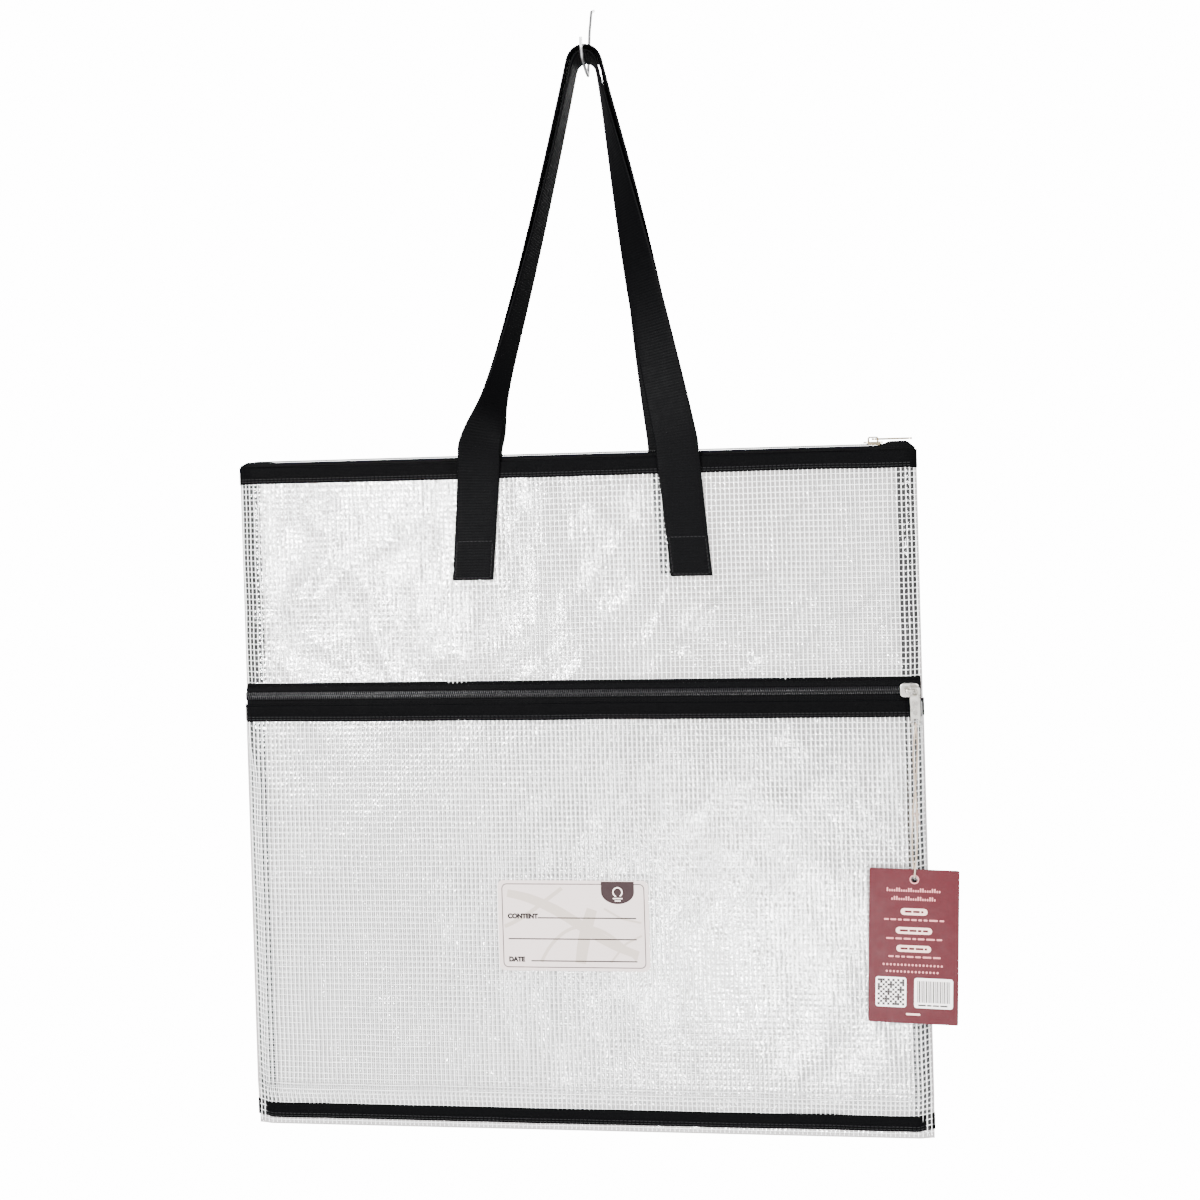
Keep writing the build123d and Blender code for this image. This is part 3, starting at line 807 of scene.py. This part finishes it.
def ring_piece(name, outer, inner, y_back, y_front, material, body, place, closed=True):
    """A thin frame or band between two outlines with as many points."""
    count = len(outer)
    points = []
    for y in (y_back, y_front):
        for outline in (outer, inner):
            for u, v in outline:
                x, z = place(u, v)
                points.append((x, y, z))
    faces = []
    for k in range(count if closed else count - 1):
        after = (k + 1) % count
        faces.append((k, after, count + after, count + k))
        faces.append((2 * count + k, 3 * count + k, 3 * count + after, 2 * count + after))
        faces.append((k, 2 * count + k, 2 * count + after, after))
        faces.append((count + k, count + after, 3 * count + after, 3 * count + k))
    return piece(name, points, faces, material, body, 30)


def bars(name, items, y_back, y_front, material, body, place):
    """Several printed bars as one piece. items are (u, v, width, height, corner)."""
    points, faces = [], []
    for u, v, width, height, corner in items:
        outline = rounded(width, height, corner, 3)
        count, start = len(outline), len(points)
        for y in (y_back, y_front):
            for a, b in outline:
                x, z = place(u + a, v + b)
                points.append((x, y, z))
        faces.append(tuple(start + k for k in range(count)))
        faces.append(tuple(start + k for k in reversed(range(count, 2 * count))))
        for k in range(count):
            after = (k + 1) % count
            faces.append((start + k, start + count + k, start + count + after, start + after))
    return piece(name, points, faces, material, body, 30)


def on_label(u, v):
    return (label_x + u, label_z + v)


def words(name, text, size, u, v, y_back, material, body):
    """Plain capitals, their left lower corner at (u, v) of the label."""
    curve = bpy.data.curves.new(name, "FONT")
    curve.body = text
    curve.size = size * MM
    curve.extrude = 0.03 * MM
    curve.offset = 0.3 * MM
    source = bpy.data.objects.new(name, curve)
    x, z = on_label(u, v)
    upright = Matrix.Rotation(math.pi / 2, 4, "X")
    source.matrix_world = Matrix.Translation((x * MM, y_back * MM, z * MM)) @ upright
    mesh = bpy.data.meshes.new_from_object(source)
    mesh.transform(source.matrix_world)
    mesh.materials.clear()
    mesh.materials.append(material)
    made = bpy.data.objects.new(name, mesh)
    bpy.data.objects.remove(source)
    bpy.context.scene.collection.objects.link(made)
    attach(made, body)
    return made


line_ink = ink("label_ink_dark", (0.006, 0.003, 0.003))
red_ink = ink("label_ink_red", (0.012, 0.0012, 0.0022))
beige_ink = ink("label_ink_beige", (0.4, 0.34, 0.3), 0.95)
pale_ink = ink("label_ink_pale", (0.8, 0.7, 0.66))

y_label = -10.8


def printed(rise, material):
    """Where a print on the label lies and what it is: it stands that far proud of the label."""
    return y_label, y_label - rise, material, "bag", on_label


label_base = flat_piece("label_base", rounded(101, 60.5, 4, 5), -10.4, y_label, satin, "bag", on_label)
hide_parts("project_label")


def arc_band(cu, cv, radius, width, start, end, steps=28):
    """Outline of a curved band, in label or tag coordinates."""
    outer, inner = [], []
    far, near = radius + width / 2, radius - width / 2
    for k in range(steps + 1):
        angle = math.radians(start + (end - start) * k / steps)
        outer.append((cu + far * math.cos(angle), cv + far * math.sin(angle)))
        inner.append((cu + near * math.cos(angle), cv + near * math.sin(angle)))
    return outer, inner


ring_piece(
    "label_border",
    rounded(95.6, 56.2, 3.4, 5),
    rounded(94.5, 55.1, 2.9, 5),
    *printed(0.05, line_ink),
)


def ribbon(stops, steps=40):
    """Both edges of a printed band. stops are (u, v, width) points it runs through."""
    stops = np.asarray(stops, float)
    gone = np.linspace(0, 1, len(stops))
    fine = np.linspace(0, 1, steps)
    line = np.stack([np.interp(fine, gone, stops[:, k]) for k in range(3)], axis=1)
    line = softened(line, 2.5)
    run = np.gradient(line[:, :2], axis=0)
    run /= np.linalg.norm(run, axis=1)[:, None]
    side = np.stack([-run[:, 1], run[:, 0]], axis=1) * line[:, 2:] / 2
    return [tuple(p) for p in line[:, :2] + side], [tuple(p) for p in line[:, :2] - side]


# faint swooshes under the print, each at its own level so that they can cross. Each stop is (u, v, width)
swooshes = (
    ((-46, 22, 5), (-30, 19, 6), (-10, 10, 7), (8, -2, 7), (28, -14, 6), (45, -20, 5)),
    ((-6, 26, 2.6), (-18, 17, 2.6), (-30, 8, 2.6), (-40, 2, 2.6), (-47, -1, 2.6)),
    (
        (-23, -26, 2.2),
        (-17, -14, 2.2),
        (-6, -3, 2.2),
        (7, 1, 2.2),
        (22, -4, 2.2),
        (34, -14, 2.2),
        (43, -24, 2.2),
    ),
    ((13, 12, 7), (9, 0, 8), (6, -13, 8), (4, -26, 7)),
    ((20, 12, 1.4), (32, 5, 1.4), (46, 2, 1.4)),
    ((24, -25, 1.4), (34, -12, 1.4), (46, -6, 1.4)),
)
for k, stops in enumerate(swooshes):
    ring_piece(
        f"label_swoosh_{k + 1}",
        *ribbon(stops),
        *printed(0.012 + 0.004 * k, beige_ink),
        closed=False,
    )

badge_u, badge_top, badge_low, badge_half = 30.0, 29.6, 14.7, 11.0
shield = [(badge_u - badge_half, badge_top)]
for degrees in range(180, 361, 9):
    angle = math.radians(degrees)
    shield.append((badge_u + badge_half * math.cos(angle), badge_low + 8.0 + 8.0 * math.sin(angle)))
shield.append((badge_u + badge_half, badge_top))
flat_piece("label_badge", shield, *printed(0.07, red_ink))
ring_piece(
    "label_badge_loop",
    *arc_band(badge_u, 22.6, 3.0, 0.8, -60, 250),
    *printed(0.11, pale_ink),
    closed=False,
)
bars(
    "label_badge_lines",
    [(badge_u, 18.4, 6.5, 0.7, 0.3), (badge_u, 16.8, 4.0, 0.7, 0.3)],
    *printed(0.11, pale_ink),
)
bars(
    "label_field_lines",
    [(9, 5.2, 66, 0.8, 0.2), (-1, -8.9, 86, 0.8, 0.2), (6.5, -23.6, 71, 0.8, 0.2)],
    *printed(0.05, line_ink),
)
words("label_word_upper", "CONTENT", 4.2, -44, 4.9, y_label - 0.04, line_ink, "bag")
words("label_word_lower", "DATE", 4.2, -44, -24.0, y_label - 0.04, line_ink, "bag")

# ---- tag ----------------------------------------------------------------------------------

string_drop, tag_hole = 99.4, 2.1
lean_sin, lean_cos = math.sin(plumb_lean), math.cos(plumb_lean)


def hung(across, depth, drop):
    """A point of the string's own plumb frame, in the bag's."""
    x = x_leg + across * lean_cos - drop * lean_sin
    z = z_string - across * lean_sin - drop * lean_cos
    return (x, y_pull + depth, z)


def on_tag(u, v):
    """A point of the tag, from its hole: u to the right and v up its length."""
    x, _, z = hung(u, 0, string_drop + tag_hole - 0.6 - 0.3 - v)
    return (x, z)


y_card = -13.8


def tag_print(rise, material):
    """The same for a print on the tag."""
    return y_card, y_card - rise, material, "tag", on_tag


tag_white = ink("tag_ink_white", (0.84, 0.8, 0.78), 0.95)
tag_pink = ink("tag_ink_pink", (0.55, 0.2, 0.2))
tag_pale = ink("tag_ink_pale", (0.75, 0.5, 0.44))
tag_black = ink("tag_ink_black", (0.03, 0.025, 0.025))


def word_row(v, left, right, height, gap=1.1, seed=1):
    """Bars of uneven length that stand for a line of print."""
    pick = np.random.default_rng(seed)
    items, u = [], left
    while u < right - 1.5:
        width = min(float(pick.uniform(2.0, 5.5)), right - u)
        items.append((u + width / 2, v, width, height, height * 0.35))
        u += width + gap
    return items


script = []
for row, (v, left, right) in enumerate(((-7.5, -17, 17), (-13.0, -14, 14))):
    for k, u in enumerate(np.arange(left, right, 1.5)):
        tall = 2.6 if (k * 7 + row) % 5 in (0, 3) else 1.5
        script.append((u, v + (tall - 1.5) / 2, 0.95, tall, 0.4))
bars("tag_script", script, *tag_print(0.05, tag_pink))

pills, small = [], []
for k, v in enumerate((-21.0, -33.3, -45.0)):
    pills.append((0, v, (17, 23, 22)[k], 4.4, 2.15))
    small += word_row(v - 5.3, -19 + k * 1.5, 19 - k, 1.15, seed=20 + k)
bars("tag_pills", pills, *tag_print(0.05, tag_pale))
bars("tag_small_print", small, *tag_print(0.05, tag_pink))
for k, (u, v) in enumerate(((0, -21.0), (0, -33.3), (0, -45.0))):
    reach = (6.0, 9.0, 8.5)[k]
    pill_words = word_row(v, -reach, reach, 1.4, 0.7, 40 + k)
    bars(f"tag_pill_words_{k + 1}", pill_words, *tag_print(0.08, card))

spaced = []
for v, reach in ((-55.6, 19), (-60.0, 17)):
    for u in np.arange(-reach, reach, 2.3):
        spaced.append((u, v, 1.25, 1.35, 0.4))
bars("tag_spaced_print", spaced, *tag_print(0.05, tag_pink))

bars(
    "tag_panels",
    [(-14.2, -73.5, 19.5, 19.5, 1.6), (12.8, -73.5, 24.5, 19.5, 1.6)],
    *tag_print(0.05, tag_white),
)
checks = []
for row in range(11):
    for column in range(11):
        if (row + column) % 2 == 0 or (row * 3 + column * 5) % 7 == 0:
            checks.append((-14.2 + (column - 5) * 1.55, -73.5 + (row - 5) * 1.55, 1.5, 1.5, 0.05))
bars("tag_checker", checks, *tag_print(0.09, tag_black))
stripes = []
for k in range(19):
    stripes.append((12.8 + (k - 9) * 1.12, -72.6, (0.4, 0.75)[k % 2], 14.0, 0.05))
bars("tag_stripes", stripes, *tag_print(0.09, tag_black))
stripe_foot = word_row(-81.4, 3, 22.5, 1.0, 0.6, 9)
bars("tag_stripe_foot", stripe_foot, *tag_print(0.09, tag_black))
bars("tag_foot_line", [(0, -87.5, 9, 1.3, 0.5)], *tag_print(0.05, tag_pale))
eyelet = [(3.0 * math.cos(math.radians(a)), 3.0 * math.sin(math.radians(a))) for a in range(0, 360, 12)]
bore = [(2.25 * math.cos(math.radians(a)), 2.25 * math.sin(math.radians(a))) for a in range(0, 360, 12)]
worn_rim = ink("tag_rim_worn", (0.5, 0.2, 0.2))
ring_piece("tag_hole_rim", eyelet, bore, *tag_print(0.04, worn_rim))

# ---- string -------------------------------------------------------------------------------

string_route = [
    (0, -0.1, 0),
    (0, -1.2, 0.05),
    (-0.1, -1.9, 0.85),
    (-0.4, -1.85, 2.4),
    (-0.8, -1.7, 5.4),
    (-1.3, -1.3, 11.0),
    (-1.5, -1.0, 21.0),
    (-0.4, -0.9, 38.0),
    (1.2, -0.85, 56.0),
    (1.5, -0.95, 72.0),
    (1.1, -1.1, 84.0),
    (0.5, -1.25, 91.0),
    (0.1, -1.3, 95.6),
    (0, -1.3, string_drop),
    (0, 1.3, string_drop),
    (-0.1, 1.3, 95.6),
    (-0.6, 1.2, 90.5),
    (-1.3, 1.0, 83.0),
    (-1.6, 0.9, 70.0),
    (-0.9, 0.85, 54.0),
    (0.7, 0.85, 37.0),
    (1.5, 0.95, 21.0),
    (1.4, 1.25, 11.0),
    (0.9, 1.6, 5.4),
    (0.4, 1.85, 2.4),
    (0.1, 1.9, 0.85),
    (0, 1.2, 0.05),
    (0, 0.1, 0),
]
curve = bpy.data.curves.new("string_line", "CURVE")
curve.dimensions = "3D"
curve.resolution_u = 24
spline = curve.splines.new("NURBS")
spline.points.add(len(string_route) - 1)
for point, stop in zip(spline.points, string_route):
    x, y, z = hung(*stop)
    point.co = (x * MM, y * MM, z * MM, 1)
spline.order_u = 3
spline.use_endpoint_u = True
line_object = bpy.data.objects.new("string_line", curve)
line_mesh = bpy.data.meshes.new_from_object(line_object)
string_line = np.array([tuple(v.co) for v in line_mesh.vertices]) / MM
bpy.data.objects.remove(line_object)


def tube(points, radius, sides=6):
    """Round rod along points, its rings turned as little as can be."""
    points = np.asarray(points, float)
    runs = np.gradient(points, axis=0)
    runs /= np.linalg.norm(runs, axis=1)[:, None]
    normal = np.cross(runs[0], (0.3, 0.5, 0.8))
    made = []
    for middle, run in zip(points, runs):
        normal = normal - run * np.dot(normal, run)
        normal /= np.linalg.norm(normal)
        other = np.cross(run, normal)
        for k in range(sides):
            angle = 2 * math.pi * k / sides
            made.append(middle + radius * (normal * math.cos(angle) + other * math.sin(angle)))
    return made, rings((len(points), sides))


def even(points, step):
    """The same line with evenly spaced points."""
    points = np.asarray(points, float)
    gone = np.concatenate([[0], np.cumsum(np.linalg.norm(np.diff(points, axis=0), axis=1))])
    wanted = np.linspace(0, gone[-1], int(gone[-1] / step) + 1)
    return np.stack([np.interp(wanted, gone, points[:, k]) for k in range(3)], axis=1), wanted


def twisted(points, offset, radius, pitch, strands, step):
    """Strands laid round a line, as points and faces."""
    middles, gone = even(points, step)
    runs = np.gradient(middles, axis=0)
    runs /= np.linalg.norm(runs, axis=1)[:, None]
    normal = np.array((0.2, 1.0, 0.1))
    normals = []
    for run in runs:
        normal = normal - run * np.dot(normal, run)
        normal /= np.linalg.norm(normal)
        normals.append(normal)
    normals = np.array(normals)
    others = np.cross(runs, normals)
    all_points, all_faces = [], []
    for k in range(strands):
        angle = 2 * math.pi * (gone / pitch + k / strands)
        line = middles + offset * (normals * np.cos(angle)[:, None] + others * np.sin(angle)[:, None])
        points_now, faces_now = tube(line, radius, 6)
        start = len(all_points)
        all_points += points_now
        all_faces += [tuple(start + i for i in face) for face in faces_now]
    return all_points, all_faces, middles


points, faces, string_middle = twisted(string_line, 0.29, 0.31, 3.6, 3, 0.3)
string_piece = piece("tag_string_strands", points, faces, cotton, "string", 80)
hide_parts("tag_string")

knot_line = []
for k in range(90):
    t = 2 * math.pi * k / 89
    across = 1.15 * (math.sin(t) + 2 * math.sin(2 * t)) / 2.4
    up = 1.3 * (math.cos(t) - 2 * math.cos(2 * t)) / 2.4
    deep = 0.75 * math.sin(3 * t)
    knot_line.append(hung(1.2 + across, deep, 59.0 - up))
points, faces, _ = twisted(knot_line, 0.24, 0.3, 3.0, 2, 0.25)
for across, reach in ((1.9, 5.5), (0.7, 4.6)):
    tail = [hung(1.2 + across * s, 0.5 * s, 59.5 + reach * s) for s in np.linspace(0, 1, 14)]
    tail_points, tail_faces, _ = twisted(tail, 0.22, 0.27, 3.0, 2, 0.3)
    start = len(points)
    points = list(points) + list(tail_points)
    faces = list(faces) + [tuple(start + i for i in face) for face in tail_faces]
knot = piece("tag_string_knot", points, faces, knot_cotton, "string", 80)

[tuple(p * MM) for p in string_middle]

# ---- stage --------------------------------------------------------------------------------

floor_paint = Shader("floor_pale", (0.82, 0.82, 0.82), 0.6)
floor_paint.colour(floor_paint.noise(6, 4), (0.8, 0.8, 0.8), (0.84, 0.84, 0.84))
floor_paint.bump(floor_paint.noise(60, 3), 0.2)
ring = [(900 * math.cos(math.radians(a)), 900 * math.sin(math.radians(a)), -1350) for a in range(0, 360, 5)]
floor = piece("floor", ring, [tuple(range(len(ring)))], floor_paint.material)

hook_line = [(0, 80, 60), (0, 60, 52), (0, 40, 30), (0, 28, 8), (0, 20, -6.3), (0, 8, -7.4), (0, -8, -7.4)]
hook_line += [(0, -20, -6.6), (0, -25, -1.5), (0, -26, 5)]
hook_points, _ = even(hook_line, 1.5)
points, faces = tube(hook_points, 1.0, 10)
hook = piece("wire_hook", points, faces, metal("hook_steel", (0.7, 0.7, 0.7), 0.3))

world = bpy.data.worlds.new("studio")
bpy.context.scene.world = world
world.use_nodes = True
world_nodes, world_links = world.node_tree.nodes, world.node_tree.links
ray = world_nodes.new("ShaderNodeLightPath")


def world_mix(factor, low, high):
    """A colour that goes from low to high as factor goes from 0 to 1."""
    made = world_nodes.new("ShaderNodeMix")
    made.data_type = "RGBA"
    made.clamp_factor = True
    world_links.new(factor, made.inputs[0])
    for socket, colour in ((made.inputs[6], low), (made.inputs[7], high)):
        if isinstance(colour, tuple):
            socket.default_value = (*colour, 1)
        else:
            world_links.new(colour, socket)
    return made.outputs[2]


# the wall is cut out to white round the bag, and where it shows through the vinyl it is warm grey: painted
# shade of the wall behind the bag
cut_out = (15.0, 15.0, 15.0)
painted_wall_shade = (2.0, 1.88, 1.84)
studio = (0.42, 0.42, 0.43)
behind = world_mix(ray.outputs["Transparent Depth"], cut_out, painted_wall_shade)
seen = world_mix(ray.outputs["Is Camera Ray"], studio, behind)
world_links.new(seen, world_nodes["Background"].inputs["Color"])


def area_light(name, place, aim, size, power, tint=(1, 1, 1)):
    light = bpy.data.lights.new(name, "AREA")
    light.shape = "RECTANGLE"
    light.size, light.size_y = size
    light.energy = power
    light.color = tint
    made = bpy.data.objects.new(name, light)
    made.location = place
    made.rotation_euler = (Vector(aim) - Vector(place)).to_track_quat("-Z", "Y").to_euler()
    bpy.context.scene.collection.objects.link(made)


area_light("key", (-0.9, -1.2, 0.6), (0, 0, -0.45), (0.5, 0.7), 95)
area_light("side", (1.1, -0.9, 0.1), (0, 0, -0.5), (0.25, 0.9), 42)
# small bright windows whose mirror images in the vinyl make its crinkles glint
area_light("glint_upper", (-0.47, -1.2, -0.42), (0, 0, -0.4), (0.14, 0.3), 26)
area_light("glint_lower", (0.19, -1.2, -1.1), (0.05, 0, -0.65), (0.26, 0.12), 16)
area_light("rim", (0.3, 1.3, 0.6), (0, 0, -0.4), (1.0, 0.6), 16)

# ---- camera -------------------------------------------------------------------------------

camera_data = bpy.data.cameras.new("photo_camera")
camera_data.sensor_width = 36
camera_data.lens = 35.95
camera_data.shift_x = 0.0029
camera_data.shift_y = -0.117
camera_data.clip_start = 0.01
camera = bpy.data.objects.new("photo_camera", camera_data)
turn = Matrix.Rotation(math.radians(5.36), 4, "Z")
turn = turn @ Matrix.Rotation(math.radians(-0.43), 4, "X")
turn = turn @ Matrix.Rotation(math.radians(1.67), 4, "Y")
aim = turn @ Matrix.Rotation(math.pi / 2, 4, "X")
camera.matrix_world = Matrix.Translation((0.075, -0.8, -0.263)) @ aim
bpy.context.scene.collection.objects.link(camera)
bpy.context.scene.camera = camera
